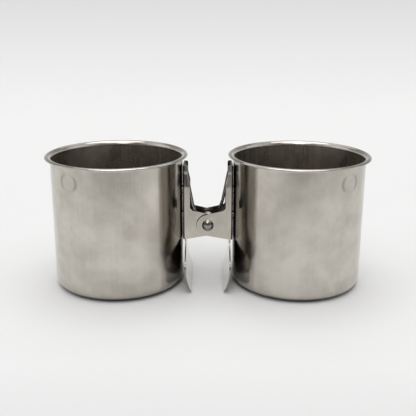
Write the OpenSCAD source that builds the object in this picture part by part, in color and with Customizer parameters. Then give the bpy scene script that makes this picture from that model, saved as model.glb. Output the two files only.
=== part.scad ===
// Palette cup clip: two pressed steel cups with curled rims, each spot welded to
// one half of a sprung sheet-metal clip. Millimetres, +Z up, the cups stand on
// z = 0, and X runs from the left cup to the right cup.

/* [Cups] */
// Outside diameter of each cup's wall
cup_d = 50; // [44:0.5:60]
// Height of each cup, base to crest of the rim
cup_h = 51.2; // [48.5:0.1:60]
// Thickness of the cup's sheet
cup_wall = 0.55; // [0.4:0.05:0.9]
// Outside radius where the wall turns into the base
cup_corner_r = 4.2; // [3:0.1:8]
// How far the curled rim stands out from the wall
rim_out = 2.1; // [1.4:0.05:2.5]
// Radius of the rim's curl, on its outer skin
rim_curl_r = 1.6; // [1.45:0.05:1.7]

/* [Clip sheet] */
// Distance between the walls of the two cups at their nearest
cup_gap = 19.5; // [18.5:0.1:26]
// Thickness of the clip's sheet
sheet_t = 0.55; // [0.4:0.05:0.8]
// Width of the outer channel over its two cheeks
channel_w = 10; // [9.6:0.1:13]
// Outside radius of the bends between back and cheeks
bend_r = 0.9; // [0.85:0.05:1.4]
// Height of the top of the finger tabs
tab_top_z = 47.5; // [46:0.1:48]
// Depth of the cheeks beside the back
cheek_depth = 2.75; // [2.3:0.05:3.2]
// Depth of the cheeks beside the finger tab
tab_depth = 1.95; // [1.6:0.05:2.2]
// Height at which the cheeks start to narrow towards the tab
tab_start_z = 40.2; // [38:0.1:42]
// Height over which the cheeks narrow
tab_slope_h = 3.4; // [2.5:0.1:4]
// Diameter of the spot weld bosses
weld_d = 3.2; // [2:0.1:4.5]

/* [Ears and pivot] */
// Height of the pivot
pivot_z = 24; // [22:0.1:26]
// Radius of the round end of each ear
ear_r = 4.2; // [3.4:0.1:4.6]
// Height of an ear's upper edge above the pivot, where it leaves its cheek
ear_rise = 5.9; // [5.2:0.1:7]
// Depth of an ear's lower edge below the pivot, at the back
ear_drop = 5.8; // [5.2:0.1:6.5]
// Diameter of the pivot rivet's shank
rivet_d = 2.8; // [2:0.1:3.2]
// Diameter of the rivet's domed head
rivet_head_d = 4.6; // [4.2:0.1:5.6]
// Height of the rivet's domed head
rivet_head_h = 1.1; // [0.7:0.1:1.6]

/* [Jaws] */
// Half of the jaw's width across the clip
jaw_half_w = 15.5; // [12:0.1:18]
// Height at which the jaw is first at its full width
jaw_shoulder_z = 11.4; // [10.4:0.1:13]
// How far the jaw plate is set in from the back
jaw_inset = 0.85; // [0.6:0.05:1.2]
// Gap between the two lips, where they are nearest
lip_gap = 12.2; // [10:0.1:13.5]
// Height of the lips' edges above the table
lip_z = 0.5; // [0.3:0.1:1.2]
// Height at which the jaw starts to curl in towards its lip
jaw_curl_z = 9.5; // [8:0.1:10.2]

/* [Spring] */
// Diameter of the spring's wire
wire_d = 1.25; // [0.9:0.05:1.25]
// Radius of the coil, to the middle of the wire
coil_r = 3; // [2.8:0.05:3.3]
// Distance between neighbouring turns, middle to middle
coil_pitch = 1.75; // [1.7:0.01:1.8]

/* [Hidden] */
$fn = 96;

// Clearances: cheek beside cheek, the rivet in the half that turns on it, the
// spring's legs beside the cheeks' edges, and their tips before the back
cheek_gap = 0.06;
pivot_gap = 0.05;
leg_gap = 0.05;
tip_gap = 0.02;
// Space between the back of the clip and the nearest line of the cup's wall
back_gap = 0.15;
// Facets round a cup
cup_sides = 180;

cup_r = cup_d / 2;
cup_x = cup_gap / 2 + cup_r;
rim_end = acos((rim_out + cup_wall - rim_curl_r) / rim_curl_r);
curl_x = cup_r - cup_wall + rim_curl_r;
curl_z = cup_h - rim_curl_r;

back_x = cup_gap / 2 - back_gap;
outer_w = channel_w;
inner_w = channel_w - 2 * (sheet_t + cheek_gap);
cheek_x = back_x - cheek_depth;
jaw_x = back_x - jaw_inset;
ear_root_z = pivot_z - ear_drop;
// Lower weld above the pivot, and upper weld below the start of the tab
weld_step = 3;
weld_z = [pivot_z + weld_step, tab_start_z - weld_step];
weld_r = weld_d / 2;
// How far what cuts or joins reaches past what it meets
cut = 1;

// Rounds of a cheek's outline, from the tab's back corner down to the root of the ear
tab_back_r = 0.5;
tab_front_r = 0.6;
tab_slope_r = 1.2;
ear_root_r = 1.6;

// Joggle between back and jaw: its height, its start above the ears' lower edge,
// and how much lower its inner skin bends than its outer one
joggle_h = 1.8;
joggle_rise = 1;
joggle_slip = 0.25;
joggle_top = ear_root_z + joggle_rise;
joggle_low = joggle_top - joggle_h;

// Outline of the jaw plate: its neck starts inside the back and ends below the ears
neck_lap = 3;
neck_drop = 0.2;
neck_r = 1;
shoulder_r = 3.4;
lip_corner_r = 1.8;

// Arc of the jaw's outer skin: it leaves the plate upright and ends at the lip
lip_x = lip_gap / 2 + sheet_t;
curl_drop = jaw_curl_z - lip_z;
curl_in = jaw_x - lip_x;
curl_a = 2 * atan(curl_in / curl_drop);
curl_r = curl_drop / sin(curl_a);

// Coil: from one leg round to the other. A leg leaves it leaning out by leg_tilt,
// which takes that angle off each end of the three and a half turns
leg_tilt = 22;
turns = 3.5;
coil_sweep = turns * 360 - 2 * leg_tilt;
coil_len = coil_pitch * coil_sweep / 360;
rings_per_turn = 8;
wire_sides = 6;
coil_rings = ceil(coil_sweep / 360 * rings_per_turn);
leg_y = coil_len / 2;
leg_x = cheek_x - wire_d / 2 - leg_gap;
leg_lean_z = tab_start_z;
leg_tip_rise = 0.5;
leg_tip_z = tab_start_z + tab_slope_h + leg_tip_rise;
leg_bend_r = 2.2;
tip_bend_r = 0.9;

function unit(v) = v / norm(v);

// The points of the round that replaces the corner p between a and b
function corner(a, p, b, r, n) =
    let (u = unit(a - p), v = unit(b - p))
    let (h = acos(u * v) / 2)
    let (c = p + unit(u + v) * r / sin(h))
    let (s = p + u * r / tan(h) - c, e = p + v * r / tan(h) - c)
    let (a0 = atan2(s[1], s[0]), turn = atan2(s[0] * e[1] - s[1] * e[0], s * e))
    [for (i = [0 : n]) c + r * [cos(a0 + turn * i / n), sin(a0 + turn * i / n)]];

// A closed outline from corners written [x, y, radius], with radius 0 for a sharp one
function rounded(list, n = 8) =
    let (m = len(list))
    [for (i = [0 : m - 1])
        let (p = list[i], a = list[(i + m - 1) % m], b = list[(i + 1) % m])
        each (p[2] > 0 ? corner(flat(a), flat(p), flat(b), p[2], n) : [flat(p)])];

// The same for an open line, whose two ends stay as they are
function rounded_path(list, n = 4) =
    let (m = len(list))
    [for (i = [0 : m - 1])
        let (p = list[i])
        each (i > 0 && i < m - 1 && p[2] > 0
            ? corner(flat(list[i - 1]), flat(p), flat(list[i + 1]), p[2], n)
            : [flat(p)])];

function flat(p) = [p[0], p[1]];

// Angle, seen from the pivot, at which a line from point p touches the ear's round end
function touch(p, side) = atan2(p[1], p[0]) + side * acos(ear_r / norm(p));

// Turns a drawing in X and Z into a solid across Y, centred
module across(width) {
    rotate([90, 0, 0])
        linear_extrude(width, center = true)
            children();
}

// Points of an arc about c, from angle a0 to a1
function arc(c, r, a0, a1, n) = [for (i = [0 : n]) let (a = a0 + (a1 - a0) * i / n) c + r * [cos(a), sin(a)]];

// Half section of one cup: base, rounded corner, straight wall and curled rim
module cup_section() {
    corner_c = [cup_r - cup_corner_r, cup_corner_r];
    curl_c = [curl_x, curl_z];
    polygon(concat(
        [[0, 0]],
        arc(corner_c, cup_corner_r, -90, 0, 10),
        arc(curl_c, rim_curl_r - cup_wall, 180, rim_end, 10),
        arc(curl_c, rim_curl_r, rim_end, 180, 14),
        arc(corner_c, cup_corner_r - cup_wall, 0, -90, 10),
        [[0, cup_wall]]
    ));
}

module cup() {
    rotate_extrude($fn = cup_sides)
        cup_section();
}

// Plan of the folded channel: back, two bends and two cheeks
module channel_plan(width) {
    reach = back_x + ear_r + cut;
    difference() {
        channel_block(width, reach, bend_r);
        translate([-sheet_t, 0])
            channel_block(width - 2 * sheet_t, reach, bend_r - sheet_t);
    }
}

module channel_block(width, reach, r) {
    translate([back_x - reach, -width / 2])
        square([reach - r, width]);
    translate([back_x - r - cut, r - width / 2])
        square([r + cut, width - 2 * r]);
    for (side = [-1, 1])
        translate([back_x - r, side * (width / 2 - r)])
            circle(r);
}

// Side view of a cheek with its ear, in X and Z
module cheek_side() {
    top = [cheek_x, ear_rise];
    low = [back_x - bend_r, -ear_drop];
    a0 = touch(top, 1);
    a1 = 360 + touch(low, -1);
    ear = [for (p = arc([0, pivot_z], ear_r, a0, a1, 24)) [p[0], p[1], 0]];
    strip = [
        [back_x, ear_root_z, 0],
        [back_x, tab_top_z, tab_back_r],
        [back_x - tab_depth, tab_top_z, tab_front_r],
        [back_x - tab_depth, tab_start_z + tab_slope_h, tab_slope_r],
        [cheek_x, tab_start_z, tab_slope_r],
        [cheek_x, pivot_z + ear_rise, ear_root_r]
    ];
    polygon(rounded(concat(strip, ear, [[low[0], ear_root_z, 0]])));
}

// Side view of the jaw: set in below the back, straight, then curled to the lip
module jaw_side() {
    curl_c = [jaw_x - curl_r, jaw_curl_z];
    skin = arc(curl_c, curl_r, 0, -curl_a, 12);
    lining = arc(curl_c, curl_r - sheet_t, -curl_a, 0, 12);
    top = [[back_x - sheet_t, joggle_top + cut], [back_x, joggle_top + cut],
        [back_x, joggle_top], [jaw_x, joggle_low]];
    foot = [[jaw_x - sheet_t, joggle_low - joggle_slip], [back_x - sheet_t, joggle_top - joggle_slip]];
    polygon(concat(top, skin, lining, foot));
}

// Front view of the jaw, in Y and Z: a neck, slanted shoulders and a wide plate
module jaw_front() {
    neck = inner_w / 2 - bend_r;
    half = [
        [neck, ear_root_z + neck_lap, 0],
        [neck, ear_root_z - neck_drop, neck_r],
        [jaw_half_w, jaw_shoulder_z, shoulder_r],
        [jaw_half_w, lip_z - cut, 0]
    ];
    other = [for (i = [3 : -1 : 0]) [-half[i][0], half[i][1], half[i][2]]];
    polygon(rounded(concat(half, other)));
}

module jaw() {
    intersection() {
        across(2 * jaw_half_w + cut)
            jaw_side();
        rotate([90, 0, 90])
            linear_extrude(back_x + cut)
                difference() {
                    jaw_front();
                    for (side = [-1, 1])
                        translate([side * (jaw_half_w - lip_corner_r), lip_z + lip_corner_r])
                            lip_cut(side);
                }
    }
}

// What a rounded lower corner takes off the jaw plate
module lip_cut(side) {
    r = lip_corner_r;
    difference() {
        translate([side > 0 ? 0 : -r - cut, -r - 2 * cut])
            square([r + cut, r + 2 * cut]);
        circle(r);
    }
}

// Weld bosses on the back, ending on the cup's wall
module weld_bosses() {
    difference() {
        for (z = weld_z)
            translate([back_x - sheet_t / 2, 0, z])
                rotate([0, 90, 0])
                    cylinder(r = weld_r, h = sheet_t / 2 + 2 * back_gap + cut / 2);
        translate([cup_x, 0, 0])
            cylinder(r = cup_r, h = cup_h, $fn = cup_sides);
    }
}

// One half of the clip on the +X side, with its cup's wall beyond the back
module clip_half(width, hole_r) {
    difference() {
        union() {
            intersection() {
                translate([0, 0, ear_root_z])
                    linear_extrude(tab_top_z - ear_root_z)
                        channel_plan(width);
                across(width + cut)
                    cheek_side();
            }
            jaw();
            weld_bosses();
        }
        translate([0, 0, pivot_z])
            rotate([90, 0, 0])
                cylinder(r = hole_r, h = width + cut, center = true);
    }
}

// Side view of the left leg, from its tip on the back down to the coil, about the pivot
leg_start = coil_r * [cos(180 + leg_tilt), sin(180 + leg_tilt)];
leg_run = (leg_x + leg_start[0]) / sin(leg_tilt);
leg_knee_z = leg_start[1] + leg_run * cos(leg_tilt);
leg_side = rounded_path([
    [sheet_t - back_x + tip_gap, leg_tip_z - pivot_z, 0],
    [tip_bend_r - leg_x - wire_d / 2, leg_tip_z - pivot_z, tip_bend_r],
    [-leg_x, leg_lean_z - pivot_z, leg_bend_r],
    [-leg_x, leg_knee_z, leg_bend_r],
    [leg_start[0], leg_start[1], 0]
]);

function on_leg(p, side) = [-side * p[0], side * leg_y, p[1] + pivot_z];

coil_points = [for (i = [1 : coil_rings - 1])
    let (a = 180 + leg_tilt + coil_sweep * i / coil_rings)
    [coil_r * cos(a), coil_len * (i / coil_rings - 0.5), coil_r * sin(a) + pivot_z]];

spring_path = concat(
    [for (p = leg_side) on_leg(p, -1)],
    coil_points,
    [for (i = [len(leg_side) - 1 : -1 : 0]) on_leg(leg_side[i], 1)]
);

// A tube along the points of a path, each ring square to the way on. No stretch
// of the path may run along the direction aside, from which the rings are turned
module tube(path, r, sides) {
    n = len(path);
    way = [for (i = [0 : n - 1]) unit(path[min(i + 1, n - 1)] - path[max(i - 1, 0)])];
    aside = [0.02, 1, 0.03];
    rings = [for (i = [0 : n - 1])
        let (u = unit(cross(way[i], aside)), v = cross(way[i], u))
        for (k = [0 : sides - 1]) path[i] + r * (u * cos(360 * k / sides) + v * sin(360 * k / sides))];
    skin = [for (i = [0 : n - 2], k = [0 : sides - 1])
        let (a = i * sides + k, b = i * sides + (k + 1) % sides)
        each [[a, a + sides, b], [b, a + sides, b + sides]]];
    first = [for (k = [1 : sides - 2]) [0, k, k + 1]];
    end = (n - 1) * sides;
    last = [for (k = [1 : sides - 2]) [end, end + k + 1, end + k]];
    polyhedron(rings, concat(skin, first, last));
}

// Least gap of the spring to itself, between points two coil radii or more apart on the wire
path_len = [for (i = 0, s = 0; i < len(spring_path);
    s = s + (i + 1 < len(spring_path) ? norm(spring_path[i + 1] - spring_path[i]) : 0), i = i + 1) s];
self_gap = min([for (i = [0 : len(spring_path) - 1], j = [i : len(spring_path) - 1])
    if (path_len[j] - path_len[i] > 2 * coil_r) norm(spring_path[i] - spring_path[j])]) - wire_d;
echo(least_gap_of_spring = self_gap);

// A round rivet head that stands on z = 0
module rivet_head(r, h) {
    ball = (r * r + h * h) / (2 * h);
    steps = 12;
    top = asin(r / ball);
    rotate_extrude()
        polygon(concat([[0, 0]], [for (i = [0 : steps])
            let (a = top * (1 - i / steps))
            [i == steps ? 0 : ball * sin(a), ball * cos(a) - ball + h]]));
}

module left_cup() {
    color("lightgray")
        translate([-cup_x, 0, 0])
            cup();
}

module right_cup() {
    color("lightgray")
        translate([cup_x, 0, 0])
            cup();
}

module inner_clip_half() {
    color("silver")
        mirror([1, 0, 0])
            clip_half(inner_w, rivet_d / 2 + pivot_gap);
}

module outer_clip_half() {
    color("silver")
        clip_half(outer_w, rivet_d / 2);
}

module pivot_rivet() {
    color("gainsboro")
        translate([0, 0, pivot_z])
            rotate([90, 0, 0]) {
                cylinder(r = rivet_d / 2, h = outer_w, center = true);
                for (side = [0, 1])
                    mirror([0, 0, side])
                        translate([0, 0, outer_w / 2])
                            rivet_head(rivet_head_d / 2, rivet_head_h);
            }
}

module torsion_spring() {
    color("dimgray")
        tube(spring_path, wire_d / 2, wire_sides);
}

left_cup();
right_cup();
inner_clip_half();
outer_clip_half();
pivot_rivet();
torsion_spring();
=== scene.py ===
import math

import bmesh
import bpy
from mathutils import Matrix, Vector


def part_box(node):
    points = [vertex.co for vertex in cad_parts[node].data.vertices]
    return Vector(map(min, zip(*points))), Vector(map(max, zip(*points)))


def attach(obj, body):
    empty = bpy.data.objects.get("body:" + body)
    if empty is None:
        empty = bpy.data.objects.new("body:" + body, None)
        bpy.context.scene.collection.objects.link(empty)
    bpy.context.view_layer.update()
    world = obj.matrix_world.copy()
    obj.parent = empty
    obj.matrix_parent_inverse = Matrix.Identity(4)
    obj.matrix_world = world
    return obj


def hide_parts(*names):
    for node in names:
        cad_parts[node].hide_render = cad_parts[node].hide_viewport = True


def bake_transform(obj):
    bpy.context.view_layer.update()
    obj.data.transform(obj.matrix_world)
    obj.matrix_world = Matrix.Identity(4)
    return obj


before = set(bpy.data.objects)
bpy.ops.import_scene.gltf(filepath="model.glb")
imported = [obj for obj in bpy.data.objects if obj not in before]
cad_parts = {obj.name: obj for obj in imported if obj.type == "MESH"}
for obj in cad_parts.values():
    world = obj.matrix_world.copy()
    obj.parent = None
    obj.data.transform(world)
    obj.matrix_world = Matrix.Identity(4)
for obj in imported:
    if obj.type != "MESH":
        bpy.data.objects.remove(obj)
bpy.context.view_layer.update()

MM = 0.001
MICRON = 0.000001

# Sizes of the solids that smoother pieces stand for, in metres
CUP_R = 25 * MM
CUP_WALL = 0.55 * MM
CUP_CORNER_R = 4.2 * MM
RIM_CURL_R = 1.6 * MM
PIVOT_Z = 24 * MM
EAR_R = 4.2 * MM
RIVET_R = 1.4 * MM
RIVET_HEAD_R = 2.3 * MM
RIVET_HEAD_H = 1.1 * MM
CHANNEL_W = 10 * MM
WIRE_R = 0.625 * MM
EDGE_WEAR = 0.09 * MM

# How finely the round pieces are divided
CUP_SIDES = 256
RIVET_SIDES = 64
WIRE_SIDES = 16
COIL_STEPS = 160

# The spring's coil, and its legs, which have a knee and turn outward at the tips
TURNS = 3.5
COIL_R = 3 * MM
COIL_PITCH = 1.75 * MM
LEG_TILT = 18.5
LEG_KNEE_Z = 32 * MM
LEG_KNEE_R = 2.2 * MM
LEG_UPPER_TILT = 10.9
LEG_TIP_X = 9.03 * MM
LEG_TIP_Z = 44.1 * MM
LEG_TIP_R = 0.9 * MM

# Colours of the finishes: a steel's light and dark clouds, its marks, and painted shade and reflections
CUP_CLOUDS = ((0.60, 0.57, 0.515), (0.47, 0.44, 0.39))
CLIP_CLOUDS = ((0.57, 0.535, 0.48), (0.44, 0.41, 0.36))
WIRE_CLOUDS = ((0.34, 0.33, 0.31), (0.20, 0.19, 0.18))
RIVET_CLOUDS = ((0.42, 0.405, 0.38), (0.28, 0.27, 0.25))
MARK_COLOUR = (0.26, 0.245, 0.22)
SCUFF_COLOUR = (0.30, 0.285, 0.26)
# Painted dark reflection on the cups beside the clip
GAP_REFLECTION_COLOUR = (0.12, 0.11, 0.10)
# Painted shade on the cups' lowest edge
BASE_SHADE_COLOUR = (0.03, 0.03, 0.028)
SPECKLE_COLOUR = (0.33, 0.31, 0.28)
# Painted dark reflection on the finger tabs
TAB_REFLECTION_COLOUR = (0.04, 0.037, 0.033)
# Painted bright reflection on the jaw faces
JAW_REFLECTION_COLOUR = (0.80, 0.78, 0.755)
# Painted shade on the jaw's and neck's edges
EDGE_SHADE_COLOUR = (0.10, 0.095, 0.09)
# Painted shade in the seam round the outer ear
SEAM_SHADE_COLOUR = (0.05, 0.045, 0.04)
PAPER_COLOURS = ((0.80, 0.80, 0.80), (0.82, 0.82, 0.82))
PAPER_SHADE_COLOUR = (0.2, 0.2, 0.2)

# Each steel's roughness, how far smudges change it, and the height of its grain in metres
CUP_SURFACE = (0.17, 0.05, 2 * MICRON)
CLIP_SURFACE = (0.12, 0.04, 0.5 * MICRON)
WIRE_SURFACE = (0.18, 0.05, 2 * MICRON)
RIVET_SURFACE = (0.14, 0.06, 4 * MICRON)
CUP_ANISOTROPY = 0.3
INSIDE_DULLING = 0.12
SCUFF_DULLING = 0.12
MARK_DULLING = 0.06
RIM_POLISH = 0.08

# Where the cups' finish and painted shade change. Each pair is the span over which a change fades
RIM_Z = (48.9 * MM, 49.7 * MM)
BASE_SHADE_Z = (0.9 * MM, 1.9 * MM)
SCUFF_Z = (0.2 * MM, 2.5 * MM)
INSIDE_R = (CUP_R - 0.4 * MM, CUP_R - 0.2 * MM)
UNDERSIDE_NORMAL = (-0.35, -0.05)
# Spans off the clip's middle over which the painted dark reflection beside the clip fades
GAP_REFLECTION_FAINT_Y = (17.2 * MM, 18.4 * MM)
GAP_REFLECTION_STRONG_Y = (6 * MM, 13 * MM)

# The round marks on the cups: height, turn from the front on each cup, radius, width and fade
MARK_Z = 44.5 * MM
LEFT_MARK_TURN = -37
RIGHT_MARK_TURN = 40
MARK_R = 3.6 * MM
MARK_W = 1.1 * MM
MARK_FADE_Z = (1.6 * MM, 3.4 * MM)

# Where the clip's finish, painted shade and painted reflections change, and the width of the painted
# shade in the seam round the outer ear
EDGE_SHADE_JAW_Z = (10.4 * MM, 11.4 * MM)
EDGE_SHADE_NECK_Z = (16 * MM, 17 * MM)
JAW_REFLECTION_Z = (11.4 * MM, 15.4 * MM)
TAB_REFLECTION_Z = (38.7 * MM, 39.4 * MM)
TAB_BAND_Z = 44.6 * MM
TAB_BAND_FADE = (0.3 * MM, 0.8 * MM)
SEAM_W = 0.22 * MM
SEAM_FADE_Z = (-3 * MM, 1 * MM)

# Where painted shade darkens the floor's paper, toward the camera and up the backdrop, in metres
PAPER_FRONT_Y = (-0.30, -0.07)
PAPER_BACK_Z = (0.005, 0.12)

# The photograph's camera: place, downward pitch, roll and field of view
CAMERA_AT = (0, -257.5 * MM, 106.1 * MM)
CAMERA_PITCH = 16.56
CAMERA_ROLL = 0.17
SENSOR = 36
IMAGE_SIZE = 416
FOCAL_PIXELS = 689.4
CENTRE_X = 207.8

# The paper sweep: where its floor starts to rise behind the object, and its curve
SWEEP_START = 0.28
SWEEP_R = 0.45
SWEEP_END = 50
SWEEP_REACH = 4.0

# The room's light by direction, and its soft lights: name, azimuth, elevation, spread, strength
ROOM_SIDES = 0.45
ROOM_BACK = 0.45
ROOM_FRONT = 0.2
ROOM_CEILING = 0.6
SOFT_SUNS = (
    ("left_box", -85, 42, 60, 0.45),
    ("right_box", 85, 42, 60, 0.4),
    ("back_box", 180, 55, 45, 0.3),
    ("top_box", 180, 86, 48, 1.12),
    ("front_box", 0, 58, 45, 0.72),
    ("front_lamp", -8, 38, 20, 0.25),
)


# Meshes

def add_object(name, bm, smooth_angle=35):
    """A new object from a bmesh, smooth except at edges sharper than the angle."""
    mesh = bpy.data.meshes.new(name)
    bmesh.ops.recalc_face_normals(bm, faces=bm.faces)
    for face in bm.faces:
        face.smooth = True
    for edge in bm.edges:
        if len(edge.link_faces) == 2 and edge.calc_face_angle() > math.radians(smooth_angle):
            edge.smooth = False
    bm.to_mesh(mesh)
    bm.free()
    obj = bpy.data.objects.new(name, mesh)
    bpy.context.scene.collection.objects.link(obj)
    return obj


def arc(cx, cz, r, a0, a1, n):
    """Points of an arc about (cx, cz), from angle a0 to a1 in degrees."""
    steps = [math.radians(a0 + (a1 - a0) * i / n) for i in range(n + 1)]
    return [(cx + r * math.cos(a), cz + r * math.sin(a)) for a in steps]


def lathe(profile, segments):
    """A closed solid turned from a half section that starts and ends on the axis."""
    bm = bmesh.new()
    rings = []
    for r, z in profile:
        if r < 1e-9:
            rings.append([bm.verts.new((0, 0, z))])
            continue
        angles = [2 * math.pi * k / segments for k in range(segments)]
        rings.append([bm.verts.new((r * math.cos(a), r * math.sin(a), z)) for a in angles])
    for low, high in zip(rings, rings[1:]):
        for k in range(segments):
            j = (k + 1) % segments
            if len(low) == 1:
                bm.faces.new((low[0], high[j], high[k]))
            elif len(high) == 1:
                bm.faces.new((low[k], low[j], high[0]))
            else:
                bm.faces.new((low[k], low[j], high[j], high[k]))
    return bm


def tube(points, r, sides):
    """A closed tube along a path, carried along it without twisting."""
    bm = bmesh.new()
    points = [Vector(p) for p in points]
    ways = []
    for i in range(len(points)):
        ahead = points[min(i + 1, len(points) - 1)]
        ways.append((ahead - points[max(i - 1, 0)]).normalized())
    side = ways[0].cross(Vector((0, 1, 0))).normalized()
    rings = []
    for i, (p, way) in enumerate(zip(points, ways)):
        if i:
            side = ways[i - 1].rotation_difference(way) @ side
        up = way.cross(side)
        ring = []
        for k in range(sides):
            a = 2 * math.pi * k / sides
            ring.append(bm.verts.new(p + r * (side * math.cos(a) + up * math.sin(a))))
        rings.append(ring)
    for low, high in zip(rings, rings[1:]):
        for k in range(sides):
            j = (k + 1) % sides
            bm.faces.new((low[k], low[j], high[j], high[k]))
    bm.faces.new(rings[0])
    bm.faces.new(list(reversed(rings[-1])))
    return bm


# Node materials

class Nodes:
    """Short calls for building one material's nodes. Its colour and rough are the finish so far."""

    def __init__(self, name):
        self.material = bpy.data.materials.new(name)
        self.material.use_nodes = True
        self.tree = self.material.node_tree
        self.shader = self.tree.nodes["Principled BSDF"]
        self.colour = None
        self.rough = None

    def link(self, out, socket):
        self.tree.links.new(out, socket)

    def done(self):
        """Gives the shader the colour and roughness, and returns the material."""
        self.link(self.colour, self.shader.inputs["Base Color"])
        self.link(self.rough, self.shader.inputs["Roughness"])
        return self.material

    def stain(self, where, colour, strength=1):
        """Lays a colour over the finish so far, as strongly as where says."""
        self.colour = self.mix(self.times(where, strength), self.colour, colour)

    def place(self, scale=(1, 1, 1)):
        """The object's own coordinates in metres, stretched by scale."""
        coords = self.tree.nodes.new("ShaderNodeTexCoord")
        mapping = self.tree.nodes.new("ShaderNodeMapping")
        mapping.inputs["Scale"].default_value = scale
        self.link(coords.outputs["Object"], mapping.inputs["Vector"])
        return mapping.outputs["Vector"]

    def noise(self, scale, detail=4, stretch=(1, 1, 1), roughness=0.55, distortion=0):
        node = self.tree.nodes.new("ShaderNodeTexNoise")
        node.inputs["Scale"].default_value = scale
        node.inputs["Detail"].default_value = detail
        node.inputs["Roughness"].default_value = roughness
        node.inputs["Distortion"].default_value = distortion
        self.link(self.place(stretch), node.inputs["Vector"])
        return node.outputs["Fac"]

    def ramp(self, value, low, high, from_value=0, to_value=1):
        """Maps value from the span low..high to from_value..to_value."""
        node = self.tree.nodes.new("ShaderNodeMapRange")
        node.inputs["From Min"].default_value = low
        node.inputs["From Max"].default_value = high
        node.inputs["To Min"].default_value = from_value
        node.inputs["To Max"].default_value = to_value
        self.link(value, node.inputs["Value"])
        return node.outputs["Result"]

    def math(self, kind, a, b=None):
        node = self.tree.nodes.new("ShaderNodeMath")
        node.operation = kind
        for value, socket in zip((a, b), node.inputs):
            if value is None:
                continue
            if isinstance(value, (int, float)):
                socket.default_value = value
            else:
                self.link(value, socket)
        return node.outputs["Value"]

    def times(self, first, *rest):
        for value in rest:
            first = self.math("MULTIPLY", first, value)
        return first

    def plus(self, first, *rest):
        for value in rest:
            first = self.math("ADD", first, value)
        return first

    def less(self, a, b):
        return self.math("SUBTRACT", a, b)

    def size(self, value):
        return self.math("ABSOLUTE", value)

    def mix(self, factor, a, b):
        node = self.tree.nodes.new("ShaderNodeMix")
        node.data_type = "RGBA"
        self.link(factor, node.inputs["Factor"])
        for value, name in ((a, 6), (b, 7)):
            if isinstance(value, tuple):
                node.inputs[name].default_value = (*value, 1)
            else:
                self.link(value, node.inputs[name])
        return node.outputs[2]

    def split(self, vector=None):
        """The x, y and z of a vector, or of the object's own coordinates."""
        node = self.tree.nodes.new("ShaderNodeSeparateXYZ")
        self.link(vector or self.place(), node.inputs["Vector"])
        return node.outputs["X"], node.outputs["Y"], node.outputs["Z"]

    def own_normal(self):
        """The surface's direction in the object's own frame."""
        return self.split(self.tree.nodes.new("ShaderNodeTexCoord").outputs["Normal"])

    def flat_normal(self):
        """The direction of the surface's own faces, without smoothing."""
        return self.split(self.tree.nodes.new("ShaderNodeNewGeometry").outputs["True Normal"])

    def away_from(self, point):
        """Distance to a point, in metres."""
        node = self.tree.nodes.new("ShaderNodeVectorMath")
        node.operation = "DISTANCE"
        node.inputs[1].default_value = point
        self.link(self.place(), node.inputs[0])
        return node.outputs["Value"]

    def bump(self, height, distance, strength=1):
        node = self.tree.nodes.new("ShaderNodeBump")
        node.inputs["Distance"].default_value = distance
        node.inputs["Strength"].default_value = strength
        self.link(height, node.inputs["Height"])
        self.link(node.outputs["Normal"], self.shader.inputs["Normal"])


def steel(name, clouds, surface):
    """Stainless steel: clouded colour, smudges and a fine grain along Z."""
    n = Nodes(name)
    n.shader.inputs["Metallic"].default_value = 1
    light, dark = clouds
    rough, rough_spread, grain = surface
    cloudy = n.plus(n.noise(45, 5, roughness=0.6), n.times(n.noise(190, 4), 0.5))
    smudges = n.noise(110, 6, (1, 1, 0.6), 0.65, 0.6)
    streaks = n.noise(1400, 3, (1, 1, 0.02))
    tone = n.plus(n.ramp(cloudy, 0.6, 0.9), n.times(n.ramp(streaks, 0.3, 0.7, -1, 1), 0.12))
    n.colour = n.mix(tone, dark, light)
    n.rough = n.plus(n.ramp(smudges, 0.35, 0.7, -rough_spread, rough_spread),
                     n.ramp(streaks, 0.3, 0.7, -rough_spread / 3, rough_spread / 3), rough)
    n.bump(streaks, grain)
    return n


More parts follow.
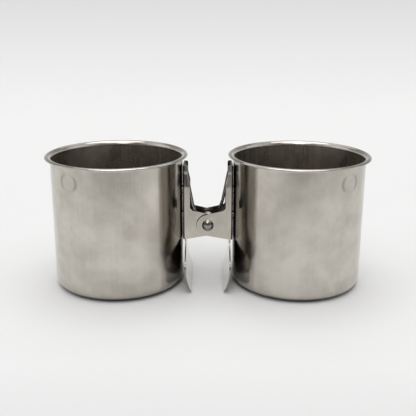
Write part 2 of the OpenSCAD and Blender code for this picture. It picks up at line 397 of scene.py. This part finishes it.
def cup_steel(name, node, mark):
    """Satin steel of a cup: duller inside, with a bright rim, a round mark, scuffs and painted shade on
    the base edge, and beside the clip painted darkening that deepens the reflection of the gap there."""
    n = steel(name, CUP_CLOUDS, CUP_SURFACE)
    x, y, z = n.split()
    centre = centre_of(node)
    aside = n.less(x, centre.x)
    from_axis = n.math("SQRT", n.plus(n.times(aside, aside), n.times(y, y)))
    under = n.ramp(n.own_normal()[2], *UNDERSIDE_NORMAL, 1, 0)
    inside = n.times(n.ramp(from_axis, *INSIDE_R, 1, 0), n.less(1, under))
    rim = n.ramp(z, *RIM_Z)

    ring = n.size(n.less(n.away_from(mark), MARK_R))
    off_level = n.size(n.less(z, mark.z))
    trace = n.times(n.ramp(ring, 0, MARK_W, 1, 0), n.ramp(off_level, *MARK_FADE_Z, 1, 0.1))
    scuffs = n.times(n.ramp(z, *SCUFF_Z, 1, 0), n.ramp(n.noise(600, 4), 0.4, 0.7), under)
    # Painted shade: the lowest downward-facing part of the corner is darkened nearly to black
    painted_base_shade = n.times(n.ramp(z, *BASE_SHADE_Z, 0.95, 0), under)

    # Painted dark reflection: beside the clip, outside the cup and below its rim, the wall is darkened
    # to deepen the reflection of the gap
    off_clip = n.size(y)
    painted_gap_reflection = n.math("MAXIMUM", n.ramp(off_clip, *GAP_REFLECTION_FAINT_Y, 0.3, 0),
                  n.ramp(off_clip, *GAP_REFLECTION_STRONG_Y, 0.85, 0))
    clip_side = n.ramp(n.times(aside, -math.copysign(1, centre.x)), 0, 1 * MM)
    painted_gap_reflection = n.times(painted_gap_reflection, clip_side, n.less(1, n.math("MAXIMUM", inside, rim)))

    n.rough = n.plus(n.rough, n.times(trace, MARK_DULLING), n.times(rim, -RIM_POLISH),
                     n.times(scuffs, SCUFF_DULLING), n.times(inside, INSIDE_DULLING))
    n.stain(trace, MARK_COLOUR, 0.75)
    n.stain(scuffs, SCUFF_COLOUR, 0.4)
    n.stain(painted_gap_reflection, GAP_REFLECTION_COLOUR)
    n.stain(painted_base_shade, BASE_SHADE_COLOUR)
    n.shader.inputs["Anisotropic"].default_value = CUP_ANISOTROPY
    return n.done()


def clip_steel(name, seam=False):
    """Speckled steel of the clip, with painted dark reflections on the finger tabs, painted shade on the
    edges of neck and jaw, and a painted bright reflection on the jaw faces. The inner half has painted
    shade in the seam where the other half's ear lies on it."""
    n = steel(name, CLIP_CLOUDS, CLIP_SURFACE)
    x, _, z = n.split()
    facing_x, facing_y = (n.size(part) for part in n.flat_normal()[:2])

    # Painted dark reflection on the finger tabs' faces that face ±Y above the flange, with a light band
    # left across it
    tab_band = n.ramp(n.size(n.less(z, TAB_BAND_Z)), *TAB_BAND_FADE)
    tab_streaks = n.ramp(n.noise(1100, 3, (1, 1, 0.08)), 0.42, 0.62, 1, 0.35)
    painted_tab_reflection = n.times(n.ramp(z, *TAB_REFLECTION_Z, 0, 0.85), n.ramp(facing_y, 0.3, 0.6), tab_band, tab_streaks)
    # Painted bright reflection: the jaw faces that face ±X are lightened, fading out toward the neck
    painted_jaw_reflection = n.times(n.ramp(facing_x, 0.6, 0.8), n.ramp(z, *JAW_REFLECTION_Z, 0.8, 0))
    # Painted shade: faces that face ±Y on the jaw and neck are darkened, which also hides their edge
    # highlights
    painted_edge_shade = n.times(n.ramp(facing_y, 0.4, 0.7), n.ramp(z, *EDGE_SHADE_JAW_Z, 0.55, 0.85),
                      n.ramp(z, *EDGE_SHADE_NECK_Z, 1, 0))

    n.stain(n.ramp(n.noise(2200, 3), 0.35, 0.6, 0.35, 0), SPECKLE_COLOUR)
    n.stain(painted_tab_reflection, TAB_REFLECTION_COLOUR)
    n.stain(painted_jaw_reflection, JAW_REFLECTION_COLOUR)
    n.stain(painted_edge_shade, EDGE_SHADE_COLOUR)
    if seam:
        # Painted shade in the seam round the outer ear, strong above the pivot and faint below it
        up = n.less(z, PIVOT_Z)
        from_pivot = n.math("SQRT", n.plus(n.times(x, x), n.times(up, up)))
        off_seam = n.size(n.less(from_pivot, EAR_R + SEAM_W / 2))
        n.stain(n.times(n.ramp(off_seam, SEAM_W / 4, SEAM_W, 1, 0), n.ramp(up, *SEAM_FADE_Z, 0.1, 0.95)),
                SEAM_SHADE_COLOUR)
    return n.done()


def wire_steel(name):
    return steel(name, WIRE_CLOUDS, WIRE_SURFACE).done()


def rivet_steel(name):
    return steel(name, RIVET_CLOUDS, RIVET_SURFACE).done()


def floor_paint(name):
    """Pale paper with painted shade toward the camera and a little up the backdrop."""
    n = Nodes(name)
    y, z = n.split()[1:]
    shade = n.math("MAXIMUM", n.ramp(y, *PAPER_FRONT_Y, 0.85, 0), n.ramp(z, *PAPER_BACK_Z, 0, 0.15))
    paper = n.mix(n.noise(3, 3), *PAPER_COLOURS)
    n.link(n.mix(shade, paper, PAPER_SHADE_COLOUR), n.shader.inputs["Base Color"])
    n.shader.inputs["Roughness"].default_value = 0.75
    n.shader.inputs["Specular IOR Level"].default_value = 0.25
    return n.material


# Pieces

def centre_of(node):
    low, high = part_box(node)
    return Vector(((low[0] + high[0]) / 2, (low[1] + high[1]) / 2, low[2]))


def cup_profile(node):
    """Half section of a cup, as high and as wide at the rim as its solid."""
    low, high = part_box(node)
    rim_r = (high[1] - low[1]) / 2
    height = high[2] - low[2]
    reach = rim_r - CUP_R + CUP_WALL
    end = math.degrees(math.acos((reach - RIM_CURL_R) / RIM_CURL_R))
    curl = (CUP_R - CUP_WALL + RIM_CURL_R, height - RIM_CURL_R)
    corner = (CUP_R - CUP_CORNER_R, CUP_CORNER_R)
    edge_r = CUP_WALL / 2
    tip = math.radians(end + 6)
    edge = (curl[0] + (RIM_CURL_R - edge_r) * math.cos(tip),
            curl[1] + (RIM_CURL_R - edge_r) * math.sin(tip))
    return (
        [(0, 0)] + arc(*corner, CUP_CORNER_R, -90, 0, 12)
        + arc(*curl, RIM_CURL_R - CUP_WALL, 180, end + 8, 14)
        + arc(*edge, edge_r, end - 165, end - 15, 6)
        + arc(*curl, RIM_CURL_R, end + 8, 180, 18)
        + arc(*corner, CUP_CORNER_R - CUP_WALL, 0, -90, 10)
        + [(0, CUP_WALL)]
    )


def make_cup(node, body, material):
    cup = add_object(node + "_smooth", lathe(cup_profile(node), CUP_SIDES), 60)
    cup.data.transform(Matrix.Translation(centre_of(node)))
    finish_piece(cup, node, body, material)


def finish_piece(piece, node, body, material):
    """Gives a piece its material and slot, hangs it on its body, and hides the CAD part it stands for.
    Without a body, the piece follows nothing.
    """
    piece.data.materials.append(material)
    if body:
        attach(piece, body)
    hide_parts(node)


def make_clip_half(node, body, material):
    """The clip half's solid with its cut edges broken and its bends smooth."""
    bm = bmesh.new()
    bm.from_mesh(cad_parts[node].data)
    bmesh.ops.remove_doubles(bm, verts=bm.verts, dist=0.002 * MM)
    bmesh.ops.dissolve_limit(bm, angle_limit=math.radians(1), verts=bm.verts, edges=bm.edges)
    clip = add_object(node + "_edged", bm, 30)
    bevel = clip.modifiers.new("worn_edges", "BEVEL")
    bevel.width = EDGE_WEAR
    bevel.segments = 3
    bevel.limit_method = "ANGLE"
    bevel.angle_limit = math.radians(40)
    bevel.harden_normals = True
    finish_piece(clip, node, body, material)


def rivet_profile():
    """Half section of the rivet, with a round head at each end."""
    half = CHANNEL_W / 2
    ball = (RIVET_HEAD_R ** 2 + RIVET_HEAD_H ** 2) / (2 * RIVET_HEAD_H)
    top = math.degrees(math.asin(RIVET_HEAD_R / ball))
    centre = half + RIVET_HEAD_H - ball
    head = arc(0, centre, ball, 90 - top + 2, 90, 14)
    head[-1] = (0, half + RIVET_HEAD_H)
    upper = [(RIVET_R, half), (RIVET_HEAD_R - 0.05 * MM, half)] + head
    lower = [(r, -z) for r, z in reversed(upper)]
    return lower + upper


def make_rivet():
    rivet = add_object("pivot_rivet_smooth", lathe(rivet_profile(), RIVET_SIDES), 40)
    turn = Matrix.Rotation(math.radians(90), 4, "X")
    rivet.data.transform(Matrix.Translation((0, 0, PIVOT_Z)) @ turn)
    finish_piece(rivet, "pivot_rivet", "right_side", rivet_steel("rivet_finish"))


def bend(points, radii, steps=10):
    """A path in which each inner corner is replaced by a round of its radius."""
    out = [Vector(points[0])]
    for a, p, b, r in zip(points, points[1:], points[2:], radii):
        a, p, b = Vector(a), Vector(p), Vector(b)
        u, v = (a - p).normalized(), (b - p).normalized()
        half = u.angle(v) / 2
        centre = p + (u + v).normalized() * r / math.sin(half)
        start = p + u * r / math.tan(half) - centre
        end = p + v * r / math.tan(half) - centre
        for i in range(steps + 1):
            out.append(centre + start.lerp(end, i / steps).normalized() * r)
    return out + [Vector(points[-1])]


def coil_sweep():
    """The angle that the wire winds through, from leg to leg."""
    return TURNS * 360 - 2 * LEG_TILT


def coil_length():
    return COIL_PITCH * coil_sweep() / 360


def spring_path():
    """The spring's wire: left leg down to the coil, the turns, and the right leg up."""
    tilt = math.radians(LEG_TILT)
    sweep = coil_sweep()
    length = coil_length()
    start = Vector((-COIL_R * math.cos(tilt), 0, -COIL_R * math.sin(tilt)))
    knee_z = LEG_KNEE_Z - PIVOT_Z
    knee_x = start.x - (knee_z - start.z) * math.tan(tilt)
    tip_z = LEG_TIP_Z - PIVOT_Z
    elbow_x = knee_x - (tip_z - knee_z) * math.tan(math.radians(LEG_UPPER_TILT))
    side = bend([(-LEG_TIP_X, 0, tip_z), (elbow_x, 0, tip_z), (knee_x, 0, knee_z), tuple(start)],
                [LEG_TIP_R, LEG_KNEE_R])
    left = [Vector((p.x, -length / 2, p.z + PIVOT_Z)) for p in side]
    right = [Vector((-p.x, length / 2, p.z + PIVOT_Z)) for p in reversed(side)]
    turns = []
    for i in range(1, COIL_STEPS):
        a = math.pi + tilt + math.radians(sweep) * i / COIL_STEPS
        turns.append(Vector((COIL_R * math.cos(a), length * (i / COIL_STEPS - 0.5),
                             COIL_R * math.sin(a) + PIVOT_Z)))
    return left + turns + right


def make_spring():
    """The spring as one tube along the wire's path. Nothing here makes its legs go with their halves or
    its coil wind.
    """
    spring = add_object("torsion_spring_smooth", tube(spring_path(), WIRE_R, WIRE_SIDES), 50)
    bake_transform(spring)
    finish_piece(spring, "torsion_spring", None, wire_steel("wire_finish"))


# Set, lights and camera

def make_floor():
    """A paper sweep: flat under the object, and curving up behind it."""
    curve = arc(SWEEP_START, SWEEP_R, SWEEP_R, -90, SWEEP_END - 90, 48)
    bm = bmesh.new()
    rows = []
    for y, z in [(-SWEEP_REACH, 0)] + curve:
        rows.append([bm.verts.new((side * SWEEP_REACH, y, z)) for side in (-1, 1)])
    for near, far in zip(rows, rows[1:]):
        bm.faces.new((near[0], near[1], far[1], far[0]))
    floor = add_object("floor", bm)
    floor.data.materials.append(floor_paint("floor_paint"))


def add_soft_sun(name, azimuth, elevation, spread, strength):
    """A wide distant light, like a large soft box. Azimuth 0 is the camera's side, 90 is +X."""
    data = bpy.data.lights.new(name, "SUN")
    data.angle = math.radians(spread)
    data.energy = strength
    light = bpy.data.objects.new(name, data)
    flat = math.cos(math.radians(elevation))
    turn = math.radians(azimuth)
    place = Vector((math.sin(turn) * flat, -math.cos(turn) * flat, math.sin(math.radians(elevation))))
    light.location = place
    light.rotation_euler = place.to_track_quat("Z", "Y").to_euler()
    bpy.context.scene.collection.objects.link(light)


def make_lights():
    """A pale room, brighter at its sides and back than behind the camera and overhead."""
    world = bpy.data.worlds.new("studio")
    bpy.context.scene.world = world
    world.use_nodes = True
    tree = world.node_tree

    def calculate(kind, a, b):
        node = tree.nodes.new("ShaderNodeMath")
        node.operation = kind
        for value, socket in zip((a, b), node.inputs):
            if isinstance(value, (int, float)):
                socket.default_value = value
            else:
                tree.links.new(value, socket)
        return node.outputs["Value"]

    coords = tree.nodes.new("ShaderNodeTexCoord")
    split = tree.nodes.new("ShaderNodeSeparateXYZ")
    tree.links.new(coords.outputs["Generated"], split.inputs["Vector"])
    x, y, z = (split.outputs[name] for name in "XYZ")
    sides = calculate("MULTIPLY", calculate("MULTIPLY", x, x), ROOM_SIDES)
    back = calculate("MULTIPLY", calculate("MAXIMUM", y, 0), ROOM_BACK)
    low = calculate("MAXIMUM", calculate("SUBTRACT", 1, calculate("MAXIMUM", z, 0)), ROOM_CEILING)
    light = calculate("ADD", calculate("ADD", sides, back), ROOM_FRONT)
    tree.links.new(calculate("MULTIPLY", light, low), tree.nodes["Background"].inputs["Strength"])
    tree.nodes["Background"].inputs["Color"].default_value = (1, 0.995, 0.985, 1)
    for name, azimuth, elevation, spread, strength in SOFT_SUNS:
        add_soft_sun(name, azimuth, elevation, spread, strength)


def make_camera():
    data = bpy.data.cameras.new("photo_camera")
    data.sensor_width = SENSOR
    data.sensor_fit = "HORIZONTAL"
    data.lens = FOCAL_PIXELS / IMAGE_SIZE * SENSOR
    data.shift_x = (IMAGE_SIZE / 2 - CENTRE_X) / IMAGE_SIZE
    data.clip_start = 0.01
    data.clip_end = 50
    camera = bpy.data.objects.new("photo_camera", data)
    pitch = Matrix.Rotation(math.radians(90 - CAMERA_PITCH), 4, "X")
    roll = Matrix.Rotation(math.radians(CAMERA_ROLL), 4, "Z")
    camera.matrix_world = Matrix.Translation(CAMERA_AT) @ pitch @ roll
    bpy.context.scene.collection.objects.link(camera)
    bpy.context.scene.camera = camera


def mark_on(node, turn):
    """The middle of a cup's round mark on its wall, at an angle from its front."""
    angle = math.radians(turn)
    return centre_of(node) + Vector((CUP_R * math.sin(angle), -CUP_R * math.cos(angle), MARK_Z))


make_camera()
make_floor()
make_lights()
left_mark = mark_on("left_cup", LEFT_MARK_TURN)
right_mark = mark_on("right_cup", RIGHT_MARK_TURN)
make_cup("left_cup", "left_side", cup_steel("left_cup_finish", "left_cup", left_mark))
make_cup("right_cup", "right_side", cup_steel("right_cup_finish", "right_cup", right_mark))
make_clip_half("inner_clip_half", "left_side", clip_steel("inner_clip_finish", seam=True))
make_clip_half("outer_clip_half", "right_side", clip_steel("outer_clip_finish"))
make_rivet()
make_spring()

bpy.context.scene.view_settings.view_transform = "Standard"
